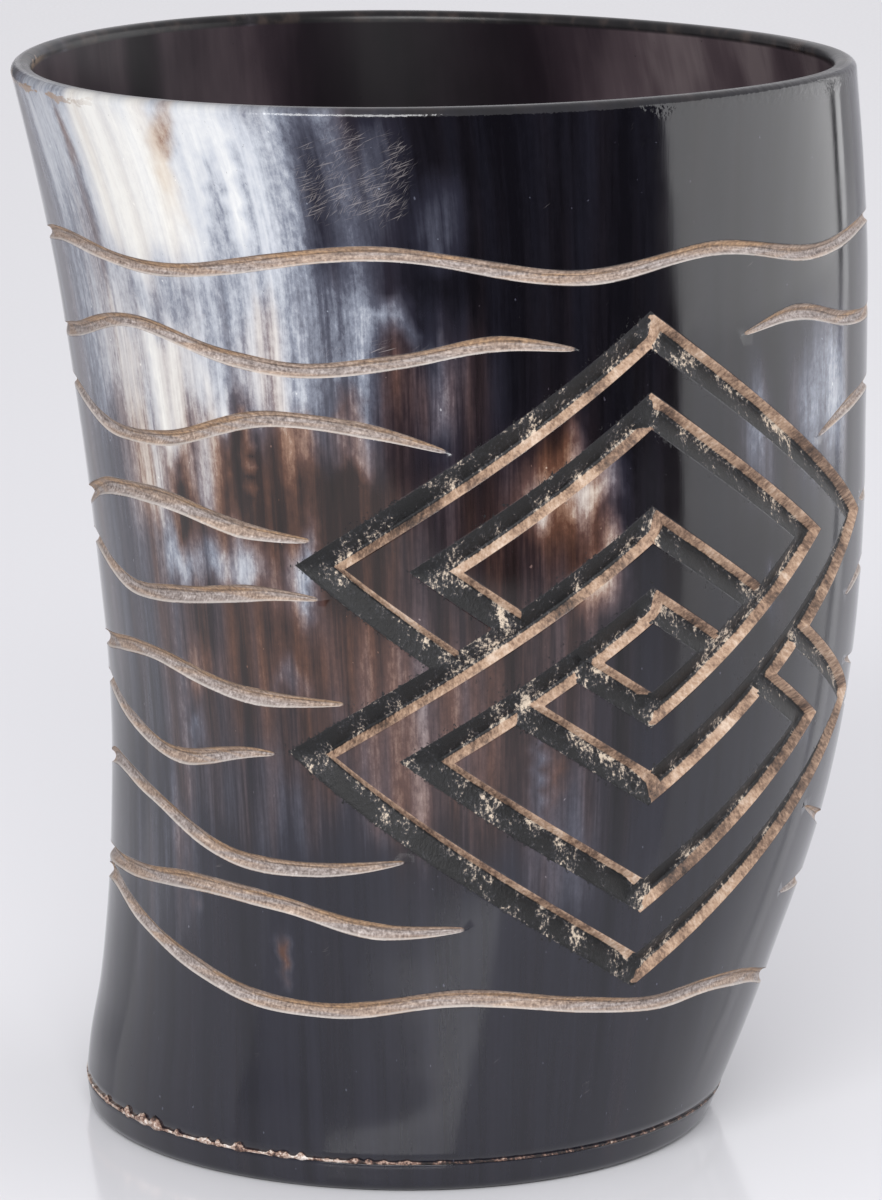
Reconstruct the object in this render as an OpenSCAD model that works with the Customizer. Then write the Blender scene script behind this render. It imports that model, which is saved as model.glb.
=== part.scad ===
// Horn drinking cup: a length of curved horn, cut square at both ends, with a horn disc glued
// into its narrow end as the foot. Millimetres, +Z up. The foot stands on Z = 0, and the origin
// is under the middle of the cup's outline. -Y is the front and +X is the side that bellies out.

/* [Cup] */
// Height from the table to the rim
cup_h = 120; // [95:1:160]
// Width over the rim, left to right
rim_w = 95; // [80:0.5:115]
// Depth over the rim, front to back
rim_d = 97.7; // [80:0.1:115]
// Width over the foot, left to right
foot_w = 70.9; // [60:0.1:78]
// Depth over the foot, front to back
foot_d = 74.1; // [60:0.1:78]

/* [Horn shape] */
// How far the middle of the horn sweeps to the right
sweep = 7.6; // [0:0.1:12]
// How far the middle of the foot lies to the left of the middle of the rim
foot_left = 4; // [0:0.1:8]
// How far the middle of the foot lies in front of the middle of the rim
foot_front = 5.4; // [0:0.1:8]
// How much the rim narrows towards its right end, as a share of its depth
egg_share = 0.136; // [0:0.002:0.2]
// Turn of the foot's oval about the upright axis, in degrees
foot_turn = 23; // [-30:1:30]
// Turn of the rim's oval about the upright axis, in degrees
rim_turn = -4.7; // [-15:0.1:15]

/* [Wall] */
// Thickness of the horn at the rim
rim_wall = 2.6; // [2:0.1:4]
// Thickness of the horn at the foot
foot_wall = 5; // [3.5:0.1:7]
// Radius of the two rounded edges of the lip
lip_r = 1; // [0.4:0.05:1]

/* [Foot disc] */
// Thickness of the part of the disc that shows below the horn
disc_h = 3.4; // [2.4:0.1:6]
// Radius of the disc's lower edge
disc_edge_r = 1.1; // [0.4:0.1:2]
// Height of the plug that stands on the disc, inside the horn
plug_h = 5; // [3:0.1:8]
// Thickness of the glue between disc, plug and horn
glue_t = 0.2; // [0.1:0.05:0.4]
// Height of the sealing bead up the inside of the horn
bead_h = 2.6; // [1.5:0.1:4]
// Width of the sealing bead over the plug
bead_w = 2.8; // [1.5:0.1:4]

/* [Carving] */
// Width of the wavy lines
wave_w = 1.8; // [1.2:0.1:2.6]
// Depth of the wavy lines
wave_depth = 0.6; // [0.3:0.05:1]
// Length over which a wavy line narrows to its tip
wave_tip = 9; // [4:0.5:14]
// Width of each of the two linked lozenges
lozenge_w = 68; // [50:1:74]
// Height of each lozenge
lozenge_h = 50; // [36:1:54]
// How far the middle of one lozenge lies above the middle of the other
lozenge_gap = 21; // [18:0.5:24]
// Height of the middle of the ornament
lozenge_mid = 60; // [56:0.5:62]
// Width of a lozenge's band, from the middle of one cut to the middle of the other
band_w = 7; // [6:0.1:9]
// Width of the ornament's cuts
cut_w = 3.3; // [2:0.1:4]
// Depth of the ornament's cuts
cut_depth = 1; // [0.4:0.05:1.2]

/* [Surface] */
// Points round each oval
round_points = 72; // [48:6:120]
// Ovals up the outside of the horn
outer_rings = 14; // [10:1:26]
// Ovals down the inside of the horn
inner_rings = 10; // [8:1:20]
// Steps round each rounded edge
edge_steps = 3; // [2:1:6]

/* [Hidden] */

// Shares of the cup's height at which the horn's growth and its sweep are given
height_shares = [0, 0.04, 0.1, 0.18, 0.28, 0.4, 0.54, 0.68, 0.84, 1];
// Growth from the foot's size to the rim's size at those heights
growth_shares = [0, 0.102, 0.171, 0.271, 0.417, 0.547, 0.676, 0.77, 0.887, 1];
// Sideways sweep at those heights
sweep_shares = [0, 0.09, 0.34, 0.6, 0.86, 1, 0.935, 0.74, 0.455, 0];
// Above 1, the outer ovals lie closer together near the foot
foot_crowding = 1.25;

// Bearings are in degrees round the upright axis: 0 is the front, 90 the right, 180 the back and
// 270 the left. The wavy lines are given as bearings and shares of the cup's height. The two
// closed ones end where they start, and the others end in tips beside the ornament.
closed_wave_shares = [
    [[-85, 0.84], [-63, 0.856], [-38, 0.846], [-8, 0.873], [19, 0.847], [39, 0.863], [58, 0.845],
     [80, 0.857], [104, 0.843], [128, 0.862], [151, 0.845], [174, 0.865], [198, 0.847],
     [221, 0.859], [246, 0.843], [275, 0.84]],
    [[-88, 0.218], [-70, 0.235], [-56, 0.218], [-40, 0.193], [-28, 0.176], [-16, 0.172], [4, 0.19],
     [20, 0.177], [32, 0.167], [44, 0.17], [55, 0.162], [69, 0.14], [88, 0.12], [110, 0.137],
     [133, 0.13], [156, 0.157], [180, 0.15], [204, 0.18], [228, 0.178], [250, 0.21], [272, 0.218]],
];
open_wave_shares = [
    [[43, 0.782], [53, 0.793], [68, 0.775], [81, 0.768], [103, 0.787], [126, 0.768], [150, 0.792],
     [174, 0.77], [198, 0.792], [222, 0.77], [246, 0.782], [262, 0.762], [276, 0.752],
     [294, 0.765], [316, 0.792], [333, 0.772], [341, 0.766], [355, 0.777], [367, 0.792],
     [378, 0.783]],
    [[59, 0.674], [66, 0.688], [80, 0.7], [103, 0.685], [126, 0.705], [150, 0.683], [174, 0.707],
     [198, 0.685], [222, 0.705], [243, 0.685], [262, 0.692], [286, 0.705], [307, 0.683],
     [320, 0.688], [338, 0.72], [350, 0.715], [361, 0.697]],
    [[76, 0.597], [80, 0.595], [102, 0.617], [125, 0.597], [149, 0.62], [173, 0.6], [197, 0.62],
     [221, 0.6], [244, 0.612], [264, 0.59], [277, 0.591], [302, 0.625], [318, 0.63], [335, 0.613],
     [343, 0.612]],
    [[69, 0.513], [78, 0.527], [92, 0.523], [110, 0.545], [131, 0.53], [153, 0.55], [176, 0.53],
     [199, 0.547], [222, 0.527], [245, 0.535], [261, 0.53], [284, 0.557], [308, 0.535],
     [321, 0.543], [338, 0.558], [344, 0.557]],
    [[72, 0.448], [77, 0.442], [89, 0.432], [108, 0.45], [130, 0.43], [153, 0.452], [176, 0.435],
     [200, 0.458], [224, 0.438], [248, 0.455], [262, 0.442], [285, 0.46], [312, 0.477],
     [333, 0.46], [347, 0.463]],
    [[77, 0.398], [90, 0.383], [108, 0.403], [130, 0.385], [153, 0.405], [176, 0.388], [200, 0.41],
     [224, 0.388], [246, 0.405], [262, 0.393], [284, 0.42], [300, 0.403], [316, 0.387],
     [334, 0.407], [337, 0.408]],
    [[62, 0.32], [70, 0.3], [88, 0.272], [110, 0.287], [132, 0.298], [155, 0.287], [178, 0.31],
     [201, 0.298], [224, 0.327], [244, 0.32], [268, 0.323], [292, 0.352], [308, 0.34],
     [331, 0.303], [343, 0.305], [355, 0.318]],
    [[60, 0.238], [73, 0.233], [86, 0.217], [108, 0.235], [130, 0.215], [153, 0.233], [176, 0.218],
     [200, 0.238], [224, 0.223], [246, 0.24], [264, 0.238], [286, 0.252], [306, 0.262],
     [321, 0.272], [337, 0.268], [352, 0.252], [364, 0.257]],
];
// Turn from one section of a wavy line to the next, and steps along each side of a lozenge
wave_turn = 9;
side_steps = 7;
// Bearing of the ornament's middle
lozenge_bearing = 28;
// Distance from a lozenge's middle square out to one of its sides
lozenge_reach = lozenge_w * lozenge_h / norm([lozenge_w, lozenge_h]) / 2;
// How far the bottom of the ornament's cuts lies to the right of their middle
lean_share = 0.38;
// Width and depth left at a wavy line's tip
tip_share = 0.15;
// How far the cutters stand out of the horn
overrun = 0.9;

// Heights of the foot joint: top of the disc's rim, underside of the horn, top of the plug
disc_top = disc_h;
horn_low = disc_top + glue_t;
plug_top = horn_low + plug_h;
bead_top = plug_top + bead_h;
lip_low = cup_h - lip_r;
// The horn's bore for the plug goes straight up from this share of the height
seat_share = horn_low / cup_h;

horn_colour = [0.16, 0.15, 0.17];
disc_colour = [0.2, 0.2, 0.22];
glue_colour = [0.72, 0.6, 0.45];
bead_colour = [0.4, 0.33, 0.26];

function mix(a, b, t) = a + (b - a) * t;

// Smooth curve through values given at shares, read at share t
function span_at(shares, t, i = 0) =
    i >= len(shares) - 2 || t < shares[i + 1] ? i : span_at(shares, t, i + 1);
function slope_at(shares, values, i) =
    let (low = max(i - 1, 0), high = min(i + 1, len(shares) - 1))
    (values[high] - values[low]) / (shares[high] - shares[low]);
function curve_at(shares, values, t) =
    let (
        i = span_at(shares, t),
        gap = shares[i + 1] - shares[i],
        s = (t - shares[i]) / gap,
        rise = s * s * (3 - 2 * s)
    )
    mix(values[i], values[i + 1], rise)
    + gap * s * (1 - s) * ((1 - s) * slope_at(shares, values, i) - s * slope_at(shares, values, i + 1));

// Points of the horn's oval at share t of its height, at the given angles, taken in from the
// outside by inset
function oval_points(t, inset, angles) =
    let (
        growth = curve_at(height_shares, growth_shares, t),
        half_w = mix(foot_w, rim_w, growth) / 2 - inset,
        half_d = mix(foot_d, rim_d, growth) / 2 - inset,
        turn = mix(foot_turn, rim_turn, t),
        egg = egg_share * t,
        middle = [
            sweep * curve_at(height_shares, sweep_shares, t) - foot_left * (1 - t),
            -foot_front * (1 - t)
        ]
    )
    [for (a = angles)
        let (x = half_w * cos(a), y = half_d * sin(a) * (1 - egg * cos(a)))
        middle + [x * cos(turn) - y * sin(turn), x * sin(turn) + y * cos(turn)]];
function oval(t, inset) =
    oval_points(t, inset, [for (k = [0 : round_points - 1]) 360 * k / round_points]);

function wall_at(t) = mix(foot_wall, rim_wall, t);

// The middle of the whole outline, which goes over the origin
outline = [for (k = [0 : outer_rings]) for (p = oval(k / outer_rings, 0)) p];
outline_x = [for (p = outline) p.x];
outline_y = [for (p = outline) p.y];
outline_mid = [min(outline_x) + max(outline_x), min(outline_y) + max(outline_y)] / 2;

// An oval as 3D points at height z. share picks the oval, which is mostly z / cup_h
function ring(z, share, inset) = [for (p = oval(share, inset)) [each p - outline_mid, z]];

// The oval's angle whose point lies at a bearing, closed in on in a few tries
function angle_of(bearing, t, a, tries = 5) =
    tries == 0 ? a :
    let (
        p = oval_points(t, 0, [a])[0] - outline_mid,
        gap = bearing - 90 - atan2(p.y, p.x)
    )
    angle_of(bearing, t, a + gap - 360 * round(gap / 360), tries - 1);

// A point at a bearing and a height, at a depth under the outside of the horn
function skin_point(bearing, z, depth) =
    let (
        t = z / cup_h,
        a = angle_of(bearing, t, bearing - 90 - mix(foot_turn, rim_turn, t)),
        p = oval_points(t, 0, [a])[0] - outline_mid
    )
    [each p * (1 - depth / norm(p)), z];

// Mean radius of the horn at height z, which turns the ornament's widths into bearings
function mean_radius(z) =
    let (growth = curve_at(height_shares, growth_shares, z / cup_h))
    (mix(foot_w, rim_w, growth) + mix(foot_d, rim_d, growth)) / 4;

// A quarter round from angle a0 to a1, as [out, up] pairs for a radius
function corner(r, a0, a1) =
    [for (k = [0 : edge_steps]) let (a = mix(a0, a1, k / edge_steps)) r * [cos(a), sin(a)]];

// Side faces between each ring and the next. Each four-sided patch is split the same way whether
// the rings go up or down, so that two pieces that share rings meet face to face
function side_faces(rings, closed) =
    let (n = len(rings[0]), m = len(rings))
    [for (i = [0 : closed ? m - 1 : m - 2], j = [0 : n - 1])
        let (
            k = (i + 1) % m,
            a = i * n + j,
            b = i * n + (j + 1) % n,
            c = k * n + (j + 1) % n,
            d = k * n + j,
            up = rings[k][0].z >= rings[i][0].z
        )
        each (up ? [[a, d, c], [a, c, b]] : [[a, d, b], [b, d, c]])];

// A closed ring whose section is drawn by the rings in turn
module hoop(rings) {
    polyhedron(points = [for (r = rings) each r], faces = side_faces(rings, true), convexity = 6);
}

// A solid stack of rings with a flat face at each end
module stack(rings) {
    n = len(rings[0]);
    last = (len(rings) - 1) * n;
    polyhedron(
        points = [for (r = rings) each r],
        faces = [
            each side_faces(rings, false),
            [for (j = [0 : n - 1]) j],
            [for (j = [n - 1 : -1 : 0]) last + j]
        ],
        convexity = 4
    );
}

// Section of a wavy line's cutter at a bearing. full is 1, and less towards the tips
function wave_section(bearings, shares, bearing, full) =
    let (
        z = cup_h * curve_at(bearings, shares, bearing),
        half = full * wave_w / 2 * (1 + overrun / wave_depth)
    )
    [
        skin_point(bearing, z - half, -overrun * full),
        skin_point(bearing, z, wave_depth * full),
        skin_point(bearing, z + half, -overrun * full)
    ];

// A wavy line that goes all the way round
module closed_wave(places) {
    // The places are repeated at both ends, so that the curve runs on smoothly where it closes
    n = len(places);
    bearings = [places[n - 2].x - 360, each [for (p = places) p.x], places[1].x + 360];
    shares = [places[n - 2].y, each [for (p = places) p.y], places[1].y];
    steps = round(360 / wave_turn);
    hoop([for (k = [0 : steps - 1])
        wave_section(bearings, shares, places[0].x + 360 * k / steps, 1)]);
}

// A wavy line with a tip at each end
module open_wave(places) {
    bearings = [for (p = places) p.x];
    shares = [for (p = places) p.y];
    first = bearings[0];
    last = bearings[len(bearings) - 1];
    tip = wave_tip / mean_radius(cup_h * shares[0]) * 180 / PI;
    steps = ceil((last - first - tip) / wave_turn);
    middles = [for (k = [0 : steps]) mix(first + tip / 2, last - tip / 2, k / steps)];
    stack([
        wave_section(bearings, shares, first, tip_share),
        for (bearing = middles) wave_section(bearings, shares, bearing, 1),
        wave_section(bearings, shares, last, tip_share)
    ]);
}

// A point of the ornament: over and up from the middle of its lozenge, which is the upper one or,
// with turned -1, the lower one turned half round
function lozenge_point(over, up, turned, depth) =
    let (z = lozenge_mid + turned * (lozenge_gap / 2 + up))
    skin_point(lozenge_bearing + turned * over / mean_radius(z) * 180 / PI, z, depth);

// Section of a lozenge's cutter at a place given in shares of its half width and half height.
// away is the distance of the cut's middle outside the lozenge
function lozenge_section(place_share, away, turned) =
    let (
        lean = lean_share * cut_w / 2 * turned * sign(place_share.x),
        open = cut_w / 2 * (1 + overrun / cut_depth)
    )
    [for (cut = [[away + open, -overrun], [away + lean, cut_depth], [away - open, -overrun]])
        let (size = 1 + cut.x / lozenge_reach)
        lozenge_point(
            place_share.x * size * lozenge_w / 2,
            place_share.y * size * lozenge_h / 2,
            turned,
            cut.y
        )];

// A section with a ridge over its open side, which stays above the round horn where a cut is wide
function ridged(section) =
    let (top = (section[0] + section[2]) / 2)
    [each section, top + (top - section[1]) / 2];

// One line of a lozenge. It starts and ends where it dives under the other lozenge's band, on its
// lower left side, and runs down from there and round to the left corner
module lozenge_line(away, turned) {
    size = 1 + away / lozenge_reach;
    apart_share = 2 * lozenge_gap / lozenge_h;
    dive_share = (away / lozenge_reach + apart_share) / (2 * size);
    rise_share = dive_share + band_w / lozenge_reach / (2 * size);
    corner_shares = [[-1, 0], [0, -1], [1, 0], [0, 1], [-1, 0]];
    // Shares of the way along each side, in the order in which the sides are cut
    shares = [
        for (k = [0 : side_steps - 1])
            mix(corner_shares[0], corner_shares[1], mix(rise_share, 1, k / side_steps)),
        for (i = [1 : 3], k = [0 : side_steps - 1])
            mix(corner_shares[i], corner_shares[i + 1], k / side_steps),
        for (k = [0 : side_steps])
            mix(corner_shares[0], corner_shares[1], dive_share * k / side_steps)
    ];
    stack([for (share = shares) ridged(lozenge_section(share, away, turned))]);
}

// The horn itself, with its carved lines
module horn_wall() {
    color(horn_colour) difference() {
        horn_blank();
        for (places = closed_wave_shares) closed_wave(places);
        for (places = open_wave_shares) open_wave(places);
        for (turned = [1, -1], away = [0, -band_w]) lozenge_line(away, turned);
    }
}

// The horn before it is carved: outside, rounded lip, inside, and the straight bore for the plug
module horn_blank() {
    outside = [for (k = [0 : outer_rings])
        let (z = mix(horn_low, lip_low, pow(k / outer_rings, foot_crowding)))
        ring(z, z / cup_h, 0)];
    lip_outer = [for (p = corner(lip_r, 0, 90)) ring(lip_low + p.y, 1, lip_r - p.x)];
    lip_inner = [for (p = corner(lip_r, 90, 180)) ring(lip_low + p.y, 1, rim_wall - lip_r - p.x)];
    inside = [for (k = [1 : inner_rings])
        let (z = mix(lip_low, bead_top, k / inner_rings), t = z / cup_h)
        ring(z, t, wall_at(t))];
    bore = [for (z = [plug_top, horn_low]) ring(z, seat_share, foot_wall)];
    hoop([
        each outside,
        each [for (k = [1 : edge_steps]) lip_outer[k]],
        each lip_inner,
        each inside,
        each bore
    ]);
}

// The horn disc under the cup, with the plug that fits the bore
module foot_disc() {
    edge = [for (p = corner(disc_edge_r, -90, 0))
        let (z = disc_edge_r + p.y)
        ring(z, z / cup_h, disc_edge_r - p.x)];
    plug_inset = foot_wall + glue_t;
    color(disc_colour) stack([
        each edge,
        ring(disc_top, disc_top / cup_h, 0),
        for (z = [disc_top, plug_top]) ring(z, seat_share, plug_inset)
    ]);
}

// Glue under the horn's cut end and up the sides of the plug
module glue_line() {
    color(glue_colour) hoop([
        ring(disc_top, disc_top / cup_h, 0),
        ring(horn_low, seat_share, 0),
        ring(horn_low, seat_share, foot_wall),
        ring(plug_top, seat_share, foot_wall),
        ring(plug_top, seat_share, foot_wall + glue_t),
        ring(disc_top, seat_share, foot_wall + glue_t)
    ]);
}

// Bead of clear resin that seals the corner between the plug and the inside of the horn
module sealing_bead() {
    t = bead_top / cup_h;
    low = ring(plug_top, seat_share, foot_wall);
    high = ring(bead_top, t, wall_at(t));
    toe = ring(plug_top, seat_share, foot_wall + bead_w);
    // Hollow face from the top of the bead to its toe, bent towards the corner
    face = [for (k = [1 : edge_steps])
        let (s = k / edge_steps, out = (1 - s) * (1 - s), over = s * s)
        [for (j = [0 : round_points - 1])
            low[j] + out * (high[j] - low[j]) + over * (toe[j] - low[j])]];
    color(bead_colour) hoop([low, high, each face]);
}

horn_wall();
foot_disc();
glue_line();
sealing_bead();
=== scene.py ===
import math
import bpy
import numpy as np
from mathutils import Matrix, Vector, noise
from mathutils.geometry import delaunay_2d_cdt


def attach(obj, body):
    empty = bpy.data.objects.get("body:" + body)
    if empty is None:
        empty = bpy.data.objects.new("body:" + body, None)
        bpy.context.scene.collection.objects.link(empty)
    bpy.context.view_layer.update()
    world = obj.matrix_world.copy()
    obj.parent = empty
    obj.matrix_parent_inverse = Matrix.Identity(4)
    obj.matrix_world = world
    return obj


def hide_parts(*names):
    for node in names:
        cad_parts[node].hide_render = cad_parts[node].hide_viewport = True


# Lengths are in millimetres until a mesh is made. A bearing is measured in degrees round the
# cup's upright axis: 0 is the front, 90 the right side, 180 the back and -90 the left side.

MM = 0.001

# Heights of the parts, as in the CAD model
DISC_TOP = 3.4
HORN_LOW = 3.6
PLUG_TOP = 8.6
BEAD_TOP = 11.2
LIP_LOW = 119.0
RIM = 119.98

DISC_EDGE_RADIUS = 1.1
LIP_RADIUS = 1.0
SKIN_INSET = 0.05
LOOP_POINTS = 256
GLUE_POINTS = 1024
SHAPE_WAVES = 8
FEWEST_RING_POINTS = 36
RING_GAP = 0.1
RING_MISS = 0.006
FIT_ROUNDS = 3
FIT_MISS = 0.06
LIP_STEPS = 6
INSIDE_RINGS = 46
BEAD_WIDTH = 2.8

# The side of the horn is laid out flat as a ring, with its foot inside and its rim outside
LAYOUT_SCALE = 44.0

# Spacing of the points that carry the horn's surface
GRID_POINTS = 220
GRID_STEP = 1.15
WAVE_CLEAR = 0.45
CUT_CLEAR = 0.35

# The fibres of the horn spread out from this bearing towards the rim
FIBRE_BEARING = 20.0
FIBRE_HEIGHT = 80.0
FIBRE_RADIUS = 45.0
FIBRE_SPREAD = 0.0012
RIM_SPREAD = 0.00017

# How unevenly the patches of colour end, in degrees sideways and millimetres upright
PATCH_WANDER = 2.6
PATCH_REACH = 3.4

# Wavy carved lines
WAVE_DEPTH = 0.62
WAVE_REACH = 3.0
WAVE_STEP = 0.9
WAVE_SPREAD = 1.22
WAVE_FADE = 0.22
WAVE_OFFSETS = (-1.22, -1.0, -0.72, -0.38, 0.0, 0.38, 0.72, 1.0, 1.22)
TIP_LENGTH = 9.0
TIP_GAP = 1.2

# Carved ornament of two linked lozenges
LOZENGE_BEARING = 28.0
LOZENGE_MIDDLE = 60.0
LOZENGE_SHIFT = 10.5
LOZENGE_HALF_WIDTH = 34.0
LOZENGE_HALF_HEIGHT = 25.0
BAND_WIDTH = 7.0
CUT_HALF_WIDTH = 1.48
CUT_DEPTH = 1.0
CUT_STEP = 0.7
CUT_LEAN = 0.38
CUT_SPREAD = 1.15
CUT_FADE = 0.15
CORNER_BLEND = 1.5
CUT_OFFSETS = (-1.15, -1.0, -0.82, 0.82, 1.0, 1.15)
BOTTOM_OFFSETS = (-0.1, 0.0, 0.1)

# Glue squeezed out of the seam: bearing, width in degrees, how much
GLUE_LUMPS = ((-50.0, 17.0, 1.05), (-22.0, 22.0, 0.55), (150.0, 30.0, 0.4))

# Studio, with lengths in metres. The camera's dip is in degrees and its lens in millimetres
TABLE_FRONT = -0.34
TABLE_BACK = 2.4
TABLE_HALF_WIDTH = 1.7
TABLE_ROWS = 12
TABLE_COLUMNS = 8
CUP_MIDDLE = (0.0, 0.0, 0.06)
SURROUND_COLOUR = (0.818, 0.811, 0.846)
SURROUND_LIGHT = 0.76
CAMERA_PLACE = (0.000095, -0.6585, 0.195)
CAMERA_DIP = 11.8025
CAMERA_LENS = 176.03


# Shape

def smooth_step(low, high, value):
    share = np.clip((value - low) / (high - low), 0.0, 1.0)
    return share * share * (3.0 - 2.0 * share)


def wrap(bearing):
    """The same bearing between -180 and 180."""
    return (np.asarray(bearing, float) + 180.0) % 360.0 - 180.0


def curve_through(places, values, wanted):
    """Smooth curve through values at rising places. The values may be rows of numbers."""
    places = np.asarray(places, float)
    values = np.asarray(values, float)
    slopes = np.gradient(values, places, axis=0)
    index = np.clip(np.searchsorted(places, wanted, side="right") - 1, 0, len(places) - 2)
    gap = places[index + 1] - places[index]
    share = (wanted - places[index]) / gap
    if values.ndim > 1:
        gap = gap[:, None]
        share = share[:, None]
    rise = share * share * (3.0 - 2.0 * share)
    bend = share * (1.0 - share)
    start = slopes[index] * gap
    end = slopes[index + 1] * gap
    straight = values[index] + (values[index + 1] - values[index]) * rise
    return straight + bend * ((1.0 - share) * start - share * end)


def trig_terms(bearing):
    angle = np.radians(np.asarray(bearing, float))
    terms = [np.ones_like(angle)]
    for wave in range(1, SHAPE_WAVES + 1):
        terms.append(np.cos(wave * angle))
        terms.append(np.sin(wave * angle))
    return np.stack(terms, axis=1)


def cad_rings(node, facing, low, high):
    """Rings of the node's corners between two heights, on faces that look away from the axis (1)
    or towards it (-1)."""
    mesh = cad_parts[node].data
    mesh.calc_loop_triangles()
    corners = np.array([triangle.vertices[:] for triangle in mesh.loop_triangles])
    normals = np.array([triangle.normal[:] for triangle in mesh.loop_triangles])
    points = np.array([vertex.co[:] for vertex in mesh.vertices]) / MM
    middles = points[corners].mean(axis=1)
    reach = np.hypot(middles[:, 0], middles[:, 1])
    outward = (normals[:, 0] * middles[:, 0] + normals[:, 1] * middles[:, 1]) / reach
    between = (middles[:, 2] > low) & (middles[:, 2] < high)
    chosen = points[np.unique(corners[between & (outward * facing > 0.5)])]
    rings = []
    for height in np.unique(np.round(chosen[:, 2], 2)):
        ring = chosen[np.abs(chosen[:, 2] - height) < RING_MISS]
        # Carved lines bring corners that belong to no ring, and these do not go all the way round
        bearing = np.degrees(np.arctan2(ring[:, 0], -ring[:, 1]))
        if len(np.unique(np.round(bearing))) < FEWEST_RING_POINTS:
            continue
        if rings and height - rings[-1][0] < RING_GAP:
            if len(ring) <= len(rings[-1][1]):
                continue
            rings.pop()
        rings.append((height, ring))
    return rings


def skin_of(rings):
    """Heights and round shapes of a side surface through the CAD's rings."""
    heights = []
    shapes = []
    for height, ring in rings:
        bearing = np.degrees(np.arctan2(ring[:, 1], ring[:, 0])) + 90.0
        reach = np.hypot(ring[:, 0], ring[:, 1])
        kept = np.ones(len(ring), bool)
        for _ in range(FIT_ROUNDS):
            shape = np.linalg.lstsq(trig_terms(bearing[kept]), reach[kept], rcond=None)[0]
            kept = np.abs(trig_terms(bearing) @ shape - reach) < FIT_MISS
        heights.append(height)
        shapes.append(shape)
    return np.array(heights), np.array(shapes)


def skin_radius(skin, bearing, height):
    bearing, height = np.broadcast_arrays(np.asarray(bearing, float), np.asarray(height, float))
    shape = curve_through(skin[0], skin[1], height.ravel())
    return (shape * trig_terms(bearing.ravel())).sum(axis=1)


def place(bearing, height, radius):
    angle = np.radians(np.asarray(bearing, float) - 90.0)
    height = np.broadcast_to(np.asarray(height, float), angle.shape)
    return np.stack([radius * np.cos(angle), radius * np.sin(angle), height], axis=1)


def normals_of(surface, bearing, height, step=0.05):
    """Outward normals of a surface given as a function of bearing and height."""
    turn = math.degrees(step / FIBRE_RADIUS)
    along = surface(bearing + turn, height) - surface(bearing - turn, height)
    up = surface(bearing, height + step) - surface(bearing, height - step)
    normals = np.cross(along, up)
    return normals / np.linalg.norm(normals, axis=1, keepdims=True)


# Carved lines

# Scuffed places: bearing, height, half width, half height, how scuffed
SCUFFS = (
    (-11, 113, 12, 8, 0.85), (-36, 100, 16, 8, 0.4), (-8, 93, 14, 5, 0.5), (12, 12, 20, 7, 0.22),
    (-22, 34, 12, 10, 0.25), (150, 70, 30, 30, 0.3),
)

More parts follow.
